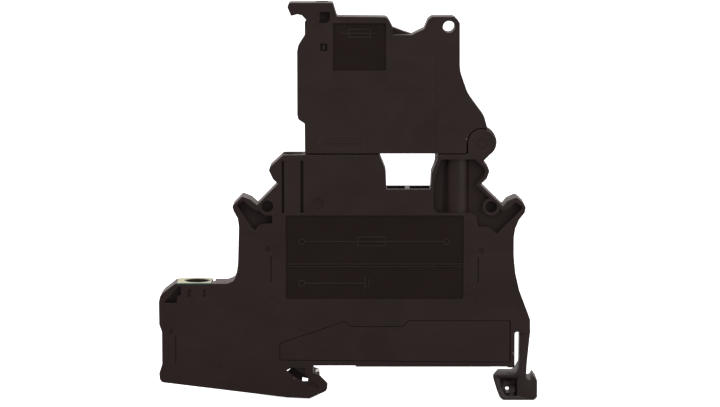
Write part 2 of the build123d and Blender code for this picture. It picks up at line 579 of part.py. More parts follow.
# 3D points (x, y, z)
LATCH_WEB = [(18.05, YF + 1.6, -3.2), (18.05, YF + 0.35, -4.55),
             (18.05, YF + 0.35, -5.35), (18.05, YF + 1.6, -5.35)]
LATCH_TIP_CUT = [(14.7, -2.5, -3.3), (14.98, -2.5, -3.3), (16.2, 3.3, -3.3), (14.7, 3.3, -3.3)]


def make_rail_foot_latch():
    body = prism(LATCH, YF, YR)
    body = soften(soften(body.solids()[0], YF), YR)
    body += cyl_y(LATCH_X, LATCH_Z, LATCH_R, YF, YR)
    body -= pocket(LATCH_POCKET, FRONT, 1.5)
    body -= pocket(LATCH_POCKET, REAR, 1.5)
    body -= prism(LATCH_WINDOW, YF - PAST, YR + PAST)
    # sloped web beside the window, and the hook tip set back towards the rear
    body += extrude(polygon(LATCH_WEB), amount=0.92, dir=(1, 0, 0))
    body -= extrude(polygon(LATCH_TIP_CUT), amount=2.6, dir=(0, 0, 1))
    return body


# ------------------------------------------------------------------ screw terminals
def make_clamp_sleeve(screw_x, bar_z):
    """Clamping sleeve in its open position."""
    floor = bar_z - 2 * WIRE_DROP + 0.1
    bottom = floor - 0.8
    roof = bar_z + BAR_T + 0.1           # underside of the threaded top
    top = roof + 2.2
    x0, x1 = screw_x - CLAMP_X, screw_x + CLAMP_X
    inner_y = CLAMP_Y - CLAMP_WALL
    body = prism([(x0, bottom, 0.3), (x1, bottom, 0.3), (x1, top, 0.25), (x0, top, 0.25)],
                 -CLAMP_Y, CLAMP_Y)
    body = body - box(x0 - PAST, x1 + PAST, -inner_y, inner_y, floor, roof)
    long_edges = body.edges().filter_by(Axis.X).filter_by(
        lambda e: abs(abs(e.center().Y) - CLAMP_Y) < 1e-3)
    body = fillet_or_keep(body, long_edges, 0.3)
    for i in range(3):     # serrations on the clamping floor
        x = screw_x - 1.9 + i * 1.6
        body -= box(x, x + 0.35, -inner_y, inner_y, floor - 0.15, floor + 0.1)
    body -= cyl_z(screw_x, THREAD_R + 0.06, roof - 0.5, top + 0.5)
    return body


def make_screw(screw_x, bar_z):
    """Captive screw with ring-shaped threads and a cross-slotted head."""
    tip = bar_z + BAR_T + 0.03
    head = bar_z + CHAMBER_RISE + 0.05
    top = head + HEAD_H
    profile = [(0, tip), (THREAD_ROOT_R - 0.3, tip), (THREAD_ROOT_R, tip + 0.3)]    # (radius, z)
    z = tip + 0.35
    while z + THREAD_PITCH < head - 0.2:
        profile += [(THREAD_ROOT_R, z), (THREAD_R, z + 0.18), (THREAD_R, z + 0.26),
                    (THREAD_ROOT_R, z + 0.44)]
        z += THREAD_PITCH
    profile += [(THREAD_ROOT_R, head), (HEAD_R - 0.15, head), (HEAD_R, head + 0.15),
                (HEAD_R, top - 0.25), (HEAD_R - 0.25, top), (0, top)]
    body = Pos(screw_x, 0, 0) * revolve(polygon([(r, 0, z) for r, z in profile]), Axis.Z, 360)
    body -= box(screw_x - 2.2, screw_x + 2.2, -0.35, 0.35, top - 1.0, top + 0.5)
    body -= box(screw_x - 0.35, screw_x + 0.35, -1.25, 1.25, top - 0.8, top + 0.5)
    return body


# ------------------------------------------------------------------ current-carrying strips
def make_bar(path, bar_z, groove_x):
    """Bent strip with three grooves under its clamped end, the first starting at groove_x."""
    body = prism(rounded(strip(path, BAR_T), 0.12), -BAR_HALF, BAR_HALF)
    for i in range(3):
        x = groove_x + i * 1.3
        body -= box(x, x + 0.3, -2, 2, bar_z - 0.5, bar_z + 0.12)
    return body


LEFT_BAR_Z = BAR_Z["left"] + BAR_T / 2
RIGHT_BAR_Z = BAR_Z["right"] + BAR_T / 2
LEFT_BAR_PATH = [(-24.0, LEFT_BAR_Z), (-17.2, LEFT_BAR_Z), (-17.2, 30.6)]
RIGHT_BAR_PATH = [(11.15, RIGHT_BAR_Z), (4.75, RIGHT_BAR_Z), (4.75, 30.4)]
SPRING_PATH = [(-19.6, 2.05), (-18.2, 1.75), (-12.5, 4.6), (-5.0, 5.95), (3.0, 5.95),
               (10.5, 4.9), (15.6, 1.85), (16.9, 2.15)]


def make_foot_spring():
    return prism(rounded(strip(SPRING_PATH, 0.45), 1.2), -1.0, 1.0)


def make_fork(x0, x1, base, top):
    """Two sprung leaves either side of the blade, joined at the base."""
    outer = [(1.1, base), (1.1, base + 1.6), (0.82, base + 3.6), (0.86, top - 0.9), (1.2, top)]
    inner = [(0.9, top), (0.46, top - 0.9), (0.43, base + 3.6), (0.7, base + 1.6),
             (0.7, base + 0.4)]
    half = outer + inner                 # (y, z)
    profile = half + [(-y, z) for y, z in reversed(half)]
    return extrude(polygon([(x0, y, z) for y, z in profile]), amount=x1 - x0, dir=(1, 0, 0))


def make_earth_marker():
    """Flange and collar around the earth screw opening."""
    body = box(MARK_X0, MARK_X1, -3.05, 3.05, LEDGE_Z - 0.07, LEDGE_Z + 0.13)
    edges = body.edges().filter_by(Axis.Z) + body.faces().sort_by(Axis.Z)[-1].edges()
    body = fillet_or_keep(body, edges, 0.12)
    body += box(COLLAR_X0, COLLAR_X1, -COLLAR_Y, COLLAR_Y, 13.5, LEDGE_Z - 0.02)
    body -= cyl_z(SCREW_X["pe"], 2.36, 13, 16)
    return body


# ------------------------------------------------------------------ lever
LEVER_LEFT = [(-19.0, LEVER_BOTTOM, 0.15), (-19.05, 44.25, 0.25), (-19.7, 44.65, 0.2),
              (-20.2, 45.0, 0.3), (-20.37, 45.8, 0.4), (-20.37, 57.2, 0.4), (-20.2, 58.1, 0.4),
              (-19.05, 59.9, 0.8)]
LEVER_TOP = [(-19.5, 63.62, 0.5), (-20.3, 63.78, 0.6), (-21.42, 63.5, 0.12), (-22.1, 65.1, 0.4),
             (-21.8, 65.85, 0.4), (-13.98, 65.85, 0.4), (-13.25, 63.4, 0.35),
             (-4.27, 63.3, 0.95)]
LEVER_RIGHT = [(0.1, 60.12, 0.4), (2.35, 61.2, 0.3), (3.05, 62.85, 0.5), (3.75, 63.36, 0.3),
               (7.75, 63.36, 0.9), (8.7, 62.3, 0.8), (8.74, 53.8, 6.0), (10.25, 49.45, 7.0),
               (13.15, 45.5, 1.6), (13.75, 43.3), (PIVOT_X, PIVOT_Z), (10.05, LEVER_BOTTOM)]
LEVER_FRONT = (LEVER_LEFT + [(-18.72, 61.0, 0.6), (-18.5, 62.5, 0.3)] + LEVER_TOP
               + [(-3.28, 61.4), (-3.28, 60.14)] + LEVER_RIGHT)
LEVER_REAR = (LEVER_LEFT + [(-19.02, 62.35, 0.12), (-18.55, 62.5, 0.12)] + LEVER_TOP
              + [(-3.2, 61.3, 0.1), (-1.2, 60.55, 0.6)] + LEVER_RIGHT)
HEAD_HOLLOW = [
    (-18.9, 51.6, 0.3), (-18.9, 57.0, 0.3), (-17.2, 60.4, 0.4), (-12.0, 60.4), (-12.0, 61.8, 0.3),
    (-5.2, 61.8, 0.3), (-4.6, 58.9, 0.3), (1.0, 58.6, 0.4), (5.0, 58.6, 0.4), (6.9, 56.9, 0.4),
    (7.4, 52.6, 0.4), (6.8, 51.6, 0.3),
]
HINGE_HOLLOW = [(6.6, 41.0, 0.3), (6.6, 50.4, 0.3), (8.0, 50.4, 0.3), (11.2, 45.4, 0.4),
                (9.3, 43.3, 0.3), (9.0, 41.0, 0.3)]
RATING_FIELD = [(-13.95, 62.22, 0.1), (-4.47, 62.22, 0.3), (-4.47, 53.73, 0.15),
                (-13.95, 53.73, 0.15)]
TOP_NOTCH = [(-16.3, 64.25, 0.15), (-14.47, 64.25, 0.15), (-14.47, 62.8, 0.2),
             (-15.1, 62.25, 0.2), (-16.45, 62.28, 0.1), (-16.3, 62.9, 0.1)]
LOWER_TAB = [(-16.1, 41.88, 0.3), (-9.2, 41.88, 0.95), (-8.2, 40.88, 0.9), (-9.2, 39.86, 0.95),
             (-16.1, 39.86, 0.3)]
FUSE_BAY_Y = 2.66      # half width of the fuse bay
END_GAP = 0.05         # cartridge to the ends of the bay
LAP = 0.5              # inner cuts run this far past the joint between the shells


def lever_shell(outline, side):
    """What both shells share; they meet at Y=0."""
    body = prism(outline, *half_y(side, LEVER_Y))
    # clear the hinge ear
    ear_y = FRONT_EAR_Y + EAR_SIDE_GAP if side == FRONT else REAR_EAR_Y - EAR_SIDE_GAP
    ear_range = sorted((side * (YR + PAST), ear_y))
    body -= cyl_y(PIVOT_X, PIVOT_Z, EAR_R + LEVER_GAP, *ear_range)
    body -= box(10.0, 17.0, *ear_range, 37.0, PIVOT_Z)
    body = soften(body.solids()[0], side * LEVER_Y)
    # tongue and stub pin
    body += cyl_y(PIVOT_X, PIVOT_Z, TONGUE_R, *sorted((ear_y, 0)))
    body += cyl_y(PIVOT_X, PIVOT_Z, PIN_R, *half_y(side, YR - 0.08))
    # fuse bay, open below, with a relief above the glass
    bay_x0, bay_x1 = FUSE_X0 - END_GAP, FUSE_X1 + END_GAP
    body -= box(bay_x0, bay_x1, *half_y(side, FUSE_BAY_Y, LAP), 38.0, FUSE_Z + 0.2)
    body -= cyl_x(FUSE_Z + 0.1, FUSE_R + 0.06, bay_x0, bay_x1)
    body -= box(-13.0, 1.0, *half_y(side, FUSE_BAY_Y - 0.5, LAP), FUSE_Z, 50.0)
    # pockets for the blades and their contact plates
    for (blade_x0, blade_x1), plate_x0, plate_x1 in ((BLADE_LEFT, -16.70, FUSE_X0),
                                                     (BLADE_RIGHT, FUSE_X1, 4.5)):
        body -= box(blade_x0 - 0.06, blade_x1 + 0.06, -0.46, 0.46, 37.0, 47.0)
        body -= box(plate_x0, plate_x1, *half_y(side, 1.8, LAP), 38.0, 47.4)
    for hollow in (HEAD_HOLLOW, HINGE_HOLLOW):
        body -= prism(hollow, *half_y(side, 1.9, LAP))
    body -= cyl_y(COUPLING_X, COUPLING_Z, COUPLING_R, YF - PAST, YR + PAST)
    return body


def make_lever_front():
    body = lever_shell(LEVER_FRONT, FRONT)
    face = -LEVER_Y
    body -= pocket(RATING_FIELD, FRONT, 0.35, LEVER_Y)
    body -= pocket(TOP_NOTCH, FRONT, 1.6, LEVER_Y)
    # square pocket with a rib in it
    body -= box(-16.2, -14.97, *inward(FRONT, 0.9, LEVER_Y), 57.26, 58.58)
    body += box(-15.82, -15.35, face + 0.15, face + 1.0, 57.5, 58.35)
    # pointed field near the bottom, with a line along it
    body -= pocket(LOWER_TAB, FRONT, 0.10, LEVER_Y)
    body += box(-15.4, -9.4, face + 0.02, face + 0.2, 40.76, 40.96)
    # fine raised lines on the face: x0, x1, z0, z1
    for x0, x1, z0, z1 in ((-16.05, -8.6, 50.26, 50.38), (-4.0, 4.6, 50.26, 50.38),
                           (4.6, 4.72, 39.4, 56.4)):
        body += box(x0, x1, face - 0.05, face + 0.1, z0, z1)
    # raised fuse symbol in the rating field
    y0, y1 = face + 0.2, face + 0.37
    body += (frame(-11.2, -7.2, y0, y1, 59.6, 61.2, 0.18)
             + box(-12.5, -5.9, y0, y1, 60.31, 60.49))
    for x, z in LEVER_PINS:
        body -= cyl_y(x, z, PIN_HOLE_R, -1.4, 0.5)
    return body


def make_lever_rear():
    body = lever_shell(LEVER_REAR, REAR)
    body += box(-16.95, -14.9, 0.6, 2.4, 65.6, 65.95)     # low rib on the top
    body -= pocket(RATING_FIELD, REAR, 0.35, LEVER_Y)
    body -= pocket(TOP_NOTCH, REAR, 1.4, LEVER_Y)
    for x, z in LEVER_PINS:
        body += cyl_y(x, z, PIN_FIT_R, -1.2, 0.4)
    return body


def make_blade(blade_x, plate_x0, plate_x1):
    """Blade that enters a fork, with the plate that touches the cartridge end."""
    x0, x1 = blade_x
    body = prism([(x0, BLADE_Z + 0.5, 0.1), (x0 + 0.35, BLADE_Z, 0.1), (x1 - 0.35, BLADE_Z, 0.1),
                  (x1, BLADE_Z + 0.5, 0.1), (x1, 46.9, 0.1), (x0, 46.9, 0.1)],
                 -BLADE_T / 2, BLADE_T / 2)
    body += box(plate_x0, plate_x1, -1.7, 1.7, 40.4, 47.2)
    return body


# ------------------------------------------------------------------ cartridge fuse 5 x 20
def make_fuse_tube():
    x0, x1 = FUSE_X0 + 0.4, FUSE_X1 - 0.4
    return (cyl_x(FUSE_Z, FUSE_GLASS_R - 0.02, x0, x1)
            - cyl_x(FUSE_Z, 1.85, x0 - PAST, x1 + PAST))


def make_fuse_cap(end_x, far_x):
    """Cap closed at end_x and open towards far_x."""
    way = 1 if far_x > end_x else -1
    body = (cyl_x(FUSE_Z, FUSE_R, *sorted((end_x, end_x + way * CAP_L)))
            - cyl_x(FUSE_Z, FUSE_GLASS_R, *sorted((end_x + way * CAP_END_T, far_x))))
    rim = body.edges().filter_by(GeomType.CIRCLE).filter_by(
        lambda e: abs(e.center().X - end_x) < 1e-3)
    return fillet_or_keep(body, rim, 0.18)


def make_fuse_wire():
    """Fuse element with a small solder bead at each end."""
    body = cyl_x(FUSE_Z, 0.12, FUSE_X0 + 0.9, FUSE_X1 - 0.9)
    bead_l = 0.9
    for x in (FUSE_X0 + 0.37, FUSE_X1 - 0.37 - bead_l):
        body += cyl_x(FUSE_Z, 0.75, x, x + bead_l)
    return body


# ------------------------------------------------------------------ build and write
parts = {
    "housing": make_housing(),
    "rear_cover": make_rear_cover(),
    "foot_bay_cover": make_foot_bay_cover(),
    "rail_foot_latch": make_rail_foot_latch(),
    "left_current_bar": make_bar(LEFT_BAR_PATH, BAR_Z["left"], -23.2),
    "right_current_bar": make_bar(RIGHT_BAR_PATH, BAR_Z["right"], 7.0),
    "left_contact_fork": make_fork(-17.8, -16.65, 30.62, 37.3),
    "right_contact_fork": make_fork(4.3, 5.4, 30.42, 37.3),
    "earth_strip": make_bar(PE_PATH, BAR_Z["pe"], -40.5),
    "earth_foot_spring": make_foot_spring(),
    "earth_marker": make_earth_marker(),
    "lever_front_shell": make_lever_front(),
    "lever_rear_shell": make_lever_rear(),
    "left_lever_blade": make_blade(BLADE_LEFT, -16.62, FUSE_X0 - 0.03),
    "right_lever_blade": make_blade(BLADE_RIGHT, FUSE_X1 + 0.03, 4.40),
    "fuse_glass_tube": make_fuse_tube(),
    "fuse_cap_left": make_fuse_cap(FUSE_X0, FUSE_X1),
    "fuse_cap_right": make_fuse_cap(FUSE_X1, FUSE_X0),
    "fuse_wire": make_fuse_wire(),
}
for terminal in SCREW_X:
    place = SCREW_X[terminal], BAR_Z[terminal]
    parts[terminal + "_clamp_sleeve"] = make_clamp_sleeve(*place)
    parts[terminal + "_screw"] = make_screw(*place)

os.makedirs("parts", exist_ok=True)
for name, shape in parts.items():
    export_step(without_slivers(shape), f"parts/{name}.step")
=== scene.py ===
# Fused terminal block: a black plastic housing with a lever, a glass fuse, screw clamps
# and a sprung rail foot. X runs from left to right, the front faces -Y and Z is up.
import bpy, bmesh, math
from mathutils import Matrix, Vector


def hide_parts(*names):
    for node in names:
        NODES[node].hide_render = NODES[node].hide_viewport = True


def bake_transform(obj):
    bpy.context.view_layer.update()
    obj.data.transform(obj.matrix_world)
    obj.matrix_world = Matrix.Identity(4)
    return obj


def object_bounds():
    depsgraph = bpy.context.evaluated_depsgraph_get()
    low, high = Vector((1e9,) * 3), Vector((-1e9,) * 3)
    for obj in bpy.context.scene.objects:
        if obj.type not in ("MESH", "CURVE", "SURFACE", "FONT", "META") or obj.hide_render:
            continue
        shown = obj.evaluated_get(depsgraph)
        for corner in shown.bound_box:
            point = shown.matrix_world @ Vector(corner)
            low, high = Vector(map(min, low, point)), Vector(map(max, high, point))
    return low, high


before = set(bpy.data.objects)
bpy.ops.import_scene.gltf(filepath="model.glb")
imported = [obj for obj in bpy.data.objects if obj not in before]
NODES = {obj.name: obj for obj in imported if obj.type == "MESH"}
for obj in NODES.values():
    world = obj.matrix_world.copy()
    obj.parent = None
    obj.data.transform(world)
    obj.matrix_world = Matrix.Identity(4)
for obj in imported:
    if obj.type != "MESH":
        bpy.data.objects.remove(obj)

CAD_LO, CAD_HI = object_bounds()
scene = bpy.context.scene
MM = 0.001

# knuckle at the root of the rail foot, a round about an axis along Y
KNUCKLE_X = 20.71 * MM
KNUCKLE_Z = 6.40 * MM


# ------------------------------------------------------------------ material building blocks
class Material:
    """A Principled material, with methods that add nodes and return their output sockets."""

    def __init__(self, name):
        self.data = bpy.data.materials.new(name)
        self.data.use_nodes = True
        self.tree = self.data.node_tree
        self.tree.nodes.clear()
        self.output = self.node("ShaderNodeOutputMaterial")
        self.bsdf = self.node("ShaderNodeBsdfPrincipled")
        self.put(self.output.inputs["Surface"], self.bsdf.outputs[0])
        self.coord = self.node("ShaderNodeTexCoord").outputs["Object"]

    def node(self, kind, **properties):
        node = self.tree.nodes.new(kind)
        for key, value in properties.items():
            setattr(node, key, value)
        return node

    def put(self, socket, value):
        """Link a socket to an input, or set the input to a plain value."""
        if isinstance(value, bpy.types.NodeSocket):
            self.tree.links.new(value, socket)
        else:
            socket.default_value = value

    def set(self, **values):
        for key, value in values.items():
            self.put(self.bsdf.inputs[key.replace("_", " ")], value)

    def mapped(self, field, value):
        """The texture coordinate with the Location or Scale of a Mapping node applied."""
        mapping = self.node("ShaderNodeMapping")
        mapping.inputs[field].default_value = value
        self.put(mapping.inputs["Vector"], self.coord)
        return mapping.outputs[0]

    def noise(self, scale, detail=3.0, rough=0.55, stretch=None, distortion=0.0):
        coord = self.mapped("Scale", stretch) if stretch else self.coord
        texture = self.node("ShaderNodeTexNoise")
        settings = {"Scale": scale, "Detail": detail, "Roughness": rough,
                    "Distortion": distortion, "Vector": coord}
        for key, value in settings.items():
            self.put(texture.inputs[key], value)
        return texture.outputs[0]

    def axes(self, coord):
        separate = self.node("ShaderNodeSeparateXYZ")
        self.put(separate.inputs[0], coord)
        return separate.outputs

    def remap(self, value, source, result=(0.0, 1.0)):
        node = self.node("ShaderNodeMapRange")
        for socket, setting in zip(node.inputs, (value, *source, *result)):
            self.put(socket, setting)
        return node.outputs[0]

    def math(self, operation, a, b=0.0, clamp=False):
        node = self.node("ShaderNodeMath", operation=operation, use_clamp=clamp)
        self.put(node.inputs[0], a)
        self.put(node.inputs[1], b)
        return node.outputs[0]

    def vector_math(self, operation, a, b):
        node = self.node("ShaderNodeVectorMath", operation=operation)
        self.put(node.inputs[0], a)
        self.put(node.inputs[1], b)
        return node.outputs

    def mix(self, factor, a, b):
        node = self.node("ShaderNodeMix", data_type="RGBA", blend_type="MIX")
        self.put(node.inputs[0], factor)
        for socket, color in ((node.inputs[6], a), (node.inputs[7], b)):
            self.put(socket, (*color, 1) if isinstance(color, tuple) else color)
        return node.outputs[2]

    def tint(self, pattern, low, high, source=(0.3, 0.7)):
        """Colour running from low to high as the pattern crosses the source range."""
        return self.mix(self.remap(pattern, source), low, high)

    def edge(self, radius, gain):
        """Mask that is bright near edges, within the radius in metres."""
        bevel = self.node("ShaderNodeBevel", samples=4)
        bevel.inputs[0].default_value = radius
        normal = self.node("ShaderNodeNewGeometry").outputs["Normal"]
        same = self.vector_math("DOT_PRODUCT", bevel.outputs[0], normal)["Value"]
        return self.math("MULTIPLY", self.math("SUBTRACT", 1.0, same), gain, clamp=True)

    def bump(self, *layers):
        """Stack layers of (height socket, distance in metres, strength)."""
        normal = None
        for height, distance, strength in layers:
            node = self.node("ShaderNodeBump")
            node.inputs["Strength"].default_value = strength
            node.inputs["Distance"].default_value = distance
            self.put(node.inputs["Height"], height)
            if normal is not None:
                self.put(node.inputs["Normal"], normal)
            normal = node.outputs[0]
        self.set(Normal=normal)


# ------------------------------------------------------------------ black plastic
# floors of sunk recesses that get painted shade, in mm: x0, x1, y0, y1, z0, z1, strength
# (None is full)
HOUSING_SHADED_FLOORS = (
    (-22.5, 9.55, -2.9, -2.6, 12.4, 27.7, None),
    (-22.7, -18.2, -1.6, -1.4, -3.4, 0.0, None),
    (3.9, 20.2, -1.75, -1.45, 24.2, 37.9, 0.3),
)
# the lever's recess floor, which gets painted shade
LEVER_SHADED_FLOORS = ((-13.95, -4.47, -2.75, -2.5, 53.7, 62.3, None),)
# painted highlight along the rim of a shallow moulded oval; half_length is measured between
# the centres of its round ends
LEVER_OVAL_HIGHLIGHT = dict(x=-12.44 * MM, z=40.85 * MM, half_length=2.96 * MM, radius=1.05 * MM)
# the foot grows lighter from top down to bottom
LATCH_BOTTOM_TONE = dict(top=4.5 * MM, bottom=-2.5 * MM, strength=0.5)


def floor_shade_mask(m, coord, shaded_floors):
    """1 inside the boxes of the recess floors that get painted shade, or less where a
    strength is given.
    """
    position = m.axes(coord)
    total = None
    for *limits, strength in shaded_floors:
        inside = None
        for axis in range(3):
            above = m.math("GREATER_THAN", position[axis], limits[2 * axis] * MM)
            below = m.math("LESS_THAN", position[axis], limits[2 * axis + 1] * MM)
            both = m.math("MULTIPLY", above, below)
            inside = both if inside is None else m.math("MULTIPLY", inside, both)
        if strength is not None:
            inside = m.math("MULTIPLY", inside, strength)
        total = inside if total is None else m.math("MAXIMUM", total, inside)
    return total


def edge_away_from_knuckle(m, coord):
    """Edge mask that fades out around the knuckle of the rail foot."""
    edge = m.edge(radius=0.00022, gain=2.4)
    flat = m.vector_math("MULTIPLY", coord, (1.0, 0.0, 1.0))["Vector"]
    distance = m.vector_math("DISTANCE", flat, (KNUCKLE_X, 0.0, KNUCKLE_Z))["Value"]
    return m.math("MULTIPLY", edge, m.remap(distance, source=(1.25 * MM, 1.7 * MM)))


def dust_specks(m, share=0.08, largest=0.078, opacity=0.75):
    """Specks in a share of random cells; the largest radius is a fraction of a cell."""
    cells = m.node("ShaderNodeTexVoronoi")
    cells.inputs["Scale"].default_value = 430.0
    m.put(cells.inputs["Vector"], m.coord)
    random = m.node("ShaderNodeSeparateColor")
    m.put(random.inputs[0], cells.outputs["Color"])
    chosen = m.math("GREATER_THAN", random.outputs[0], 1.0 - share)
    radius = m.math("MULTIPLY", random.outputs[1], largest)
    spot = m.math("LESS_THAN", cells.outputs["Distance"], radius)
    return m.math("MULTIPLY", m.math("MULTIPLY", chosen, spot), opacity)


def oval_rim_highlight(m, coord, x, z, half_length, radius):
    """Mask for a painted highlight along the rim of an oval lying along X."""
    position = m.axes(coord)
    along = m.math("ABSOLUTE", m.math("SUBTRACT", position[0], x))
    along = m.math("MAXIMUM", m.math("SUBTRACT", along, half_length), 0.0)
    across = m.math("SUBTRACT", position[2], z)
    squares = [m.math("MULTIPLY", side, side) for side in (along, across)]
    distance = m.math("SQRT", m.math("ADD", *squares))
    off_rim = m.math("ABSOLUTE", m.math("SUBTRACT", distance, radius))
    return m.remap(off_rim, source=(0.05 * MM, 0.15 * MM), result=(0.40, 0.0))


def black_plastic(name, seed=0.0, base=(0.0285, 0.0142, 0.0127),
                  light=(0.0380, 0.0200, 0.0178), shaded_floors=(), bottom_tone=None, oval=None):
    """Moulded plastic; the seed shifts its textures, and the masks stay in place."""
    m = Material(name)
    place = m.coord
    m.coord = m.mapped("Location", (seed, seed * 0.7, -seed))

    # moulding flow marks of about 15 mm, 3 mm blotches, 0.1 mm grain and a finer one
    flow = m.noise(scale=70.0, detail=4, rough=0.6, stretch=(1.0, 0.25, 1.3), distortion=1.2)
    cloud = m.noise(scale=320.0, detail=4, rough=0.6)
    grain = m.noise(scale=9000.0, detail=2, rough=0.6)
    fine = m.noise(scale=26000.0, detail=2, rough=0.7)
    color = m.tint(flow, base, light, source=(0.35, 0.68))
    blotch = m.remap(cloud, source=(0.35, 0.7), result=(0.0, 0.35))
    color = m.mix(blotch, color, (0.0300, 0.0195, 0.0175))

    # painted highlight along the edges, broken up unevenly
    edge = edge_away_from_knuckle(m, place)
    highlight_breakup = m.noise(scale=1500.0, detail=3, rough=0.6)
    highlight_breakup = m.remap(highlight_breakup, source=(0.35, 0.75), result=(0.15, 0.85))
    edge_highlight = m.math("MULTIPLY", edge, highlight_breakup, clamp=True)
    color = m.mix(edge_highlight, color, (0.080, 0.060, 0.055))
    color = m.mix(dust_specks(m), color, (0.42, 0.37, 0.35))

    if oval is not None:
        # painted highlight along the oval's rim, made patchy
        patchy = m.remap(cloud, source=(0.3, 0.6), result=(0.4, 1.0))
        rim = m.math("MULTIPLY", oval_rim_highlight(m, place, **oval), patchy)
        color = m.mix(rim, color, (0.075, 0.055, 0.050))
    if bottom_tone is not None:
        # lighter towards the bottom of the rail foot
        toward_bottom = m.remap(m.axes(place)[2], source=(bottom_tone["top"], bottom_tone["bottom"]),
                       result=(0.0, bottom_tone["strength"]))
        color = m.mix(toward_bottom, color, (0.0520, 0.0400, 0.0360))
    if shaded_floors:
        # painted shade darkens the recess floors, and they shine less
        floor_shade = floor_shade_mask(m, place, shaded_floors)
        color = m.mix(m.math("MULTIPLY", floor_shade, 0.6), color, (0.0095, 0.0040, 0.0033))
        m.set(Specular_IOR_Level=m.remap(floor_shade, source=(0.0, 1.0), result=(0.5, 0.32)))

    # roughness follows flow marks and blotches, and is lower on the edges
    uneven = m.math("ADD", m.math("MULTIPLY", flow, 0.6), m.math("MULTIPLY", cloud, 0.4))
    rough = m.remap(uneven, source=(0.3, 0.7), result=(0.36, 0.51))
    rough = m.math("SUBTRACT", rough, m.math("MULTIPLY", edge, 0.10))
    m.set(Base_Color=color, Roughness=rough, IOR=1.53)
    m.bump((flow, 0.00004, 0.35), (cloud, 0.00002, 0.30),
           (grain, 0.000006, 0.45), (fine, 0.000003, 0.35))
    return m.data


# ------------------------------------------------------------------ metal, marker, glass
def metal(name, base, light, rough, brushed=None):
    """Metal with cloudy colour and a painted highlight on its edges; brushed stretches its
    fine grain.
    """
    m = Material(name)
    cloud = m.noise(scale=420.0, detail=4, rough=0.6)
    fine = m.noise(scale=7000.0, detail=3, rough=0.6, stretch=brushed)
    scratches = m.noise(scale=1800.0, detail=4, rough=0.7, stretch=(0.12, 1.0, 1.0))
    # painted highlight colour for the edges
    edge_glint_color = tuple(min(1.0, channel * 1.25) for channel in light)
    edge = m.edge(radius=0.00012, gain=2.5)
    color = m.mix(edge, m.tint(cloud, base, light), edge_glint_color)
    fine_rough = m.remap(fine, source=(0.3, 0.7), result=(rough - 0.06, rough + 0.08))
    cloud_rough = m.remap(cloud, source=(0.3, 0.7), result=(-0.03, 0.05))
    m.set(Base_Color=color, Metallic=1.0, Roughness=m.math("ADD", fine_rough, cloud_rough))
    m.bump((scratches, 0.000006, 0.2), (fine, 0.000003, 0.2))
    return m.data


def earth_plastic(name):
    """Pale yellow-green marker with a teal print on its lower rim and its front."""
    rim_top = 15.30 * MM
    print_back = -2.93 * MM
    m = Material(name)
    position = m.axes(m.coord)
    cloud = m.noise(scale=500.0, detail=3, rough=0.6)
    fine = m.noise(scale=12000.0, detail=2, rough=0.6)
    # a wobble in metres makes the borders of the print uneven
    wobble = m.math("MULTIPLY", m.math("SUBTRACT", cloud, 0.5), 0.00006)
    rim = m.math("LESS_THAN", m.math("ADD", position[2], wobble), rim_top)
    ragged_y = m.math("ADD", position[1], m.math("MULTIPLY", wobble, 6.0))
    front = m.math("LESS_THAN", ragged_y, print_back)
    printed = m.math("MAXIMUM", rim, m.math("MULTIPLY", front, 0.75))
    pale = m.tint(cloud, (0.66, 0.68, 0.40), (0.80, 0.80, 0.58))
    teal = m.tint(cloud, (0.07, 0.22, 0.19), (0.12, 0.32, 0.28))
    m.set(Base_Color=m.mix(printed, pale, teal), IOR=1.5,
          Roughness=m.remap(cloud, source=(0.3, 0.7), result=(0.38, 0.52)))
    m.bump((cloud, 0.00002, 0.3), (fine, 0.000004, 0.4))
    return m.data


def glass(name):
    m = Material(name)
    cloud = m.noise(scale=260.0, detail=3, rough=0.6)
    smear = m.noise(scale=900.0, detail=4, rough=0.7, stretch=(0.2, 1, 1))
    m.set(Base_Color=m.tint(cloud, (0.93, 0.97, 0.96), (0.98, 1.0, 0.99)),
          Roughness=m.remap(smear, source=(0.35, 0.75), result=(0.015, 0.09)),
          IOR=1.48, Transmission_Weight=1.0)
    m.bump((smear, 0.000004, 0.2))
    return m.data


MATERIALS = {
    "housing": black_plastic("pa_housing", shaded_floors=HOUSING_SHADED_FLOORS),
    "cover": black_plastic("pa_rear_cover", seed=0.031),
    "insert": black_plastic("pa_foot_bay_cover", seed=0.057, base=(0.0290, 0.0146, 0.0131)),
    "latch": black_plastic("pa_rail_foot", bottom_tone=LATCH_BOTTOM_TONE),
    "lever": black_plastic("pa_lever_front", seed=0.083, base=(0.0305, 0.0154, 0.0138),
                           light=(0.0405, 0.0216, 0.0194),
                           shaded_floors=LEVER_SHADED_FLOORS, oval=LEVER_OVAL_HIGHLIGHT),
    "lever_rear": black_plastic("pa_lever_rear", seed=0.091),
    "tin": metal("tin_plated_copper", base=(0.66, 0.65, 0.62), light=(0.80, 0.79, 0.76),
                 rough=0.26, brushed=(1, 1, 0.1)),
    "zinc": metal("zinc_plated_steel", base=(0.52, 0.55, 0.60), light=(0.70, 0.72, 0.74),
                  rough=0.34),
    "screw": metal("zinc_plated_screw", base=(0.60, 0.62, 0.66), light=(0.76, 0.77, 0.78),
                   rough=0.24, brushed=(1, 1, 0.3)),
    "spring": metal("spring_steel", base=(0.42, 0.42, 0.43), light=(0.56, 0.56, 0.56),
                    rough=0.30, brushed=(0.1, 1, 1)),
    "nickel": metal("nickel_plated_cap", base=(0.70, 0.69, 0.65), light=(0.84, 0.82, 0.78),
                    rough=0.16, brushed=(1, 0.2, 0.2)),
    "element": metal("tinned_fuse_wire", base=(0.62, 0.60, 0.56), light=(0.78, 0.76, 0.72),
                     rough=0.25),
    "glass": glass("fuse_glass"),
    "earth": earth_plastic("earth_marker_plastic"),
}
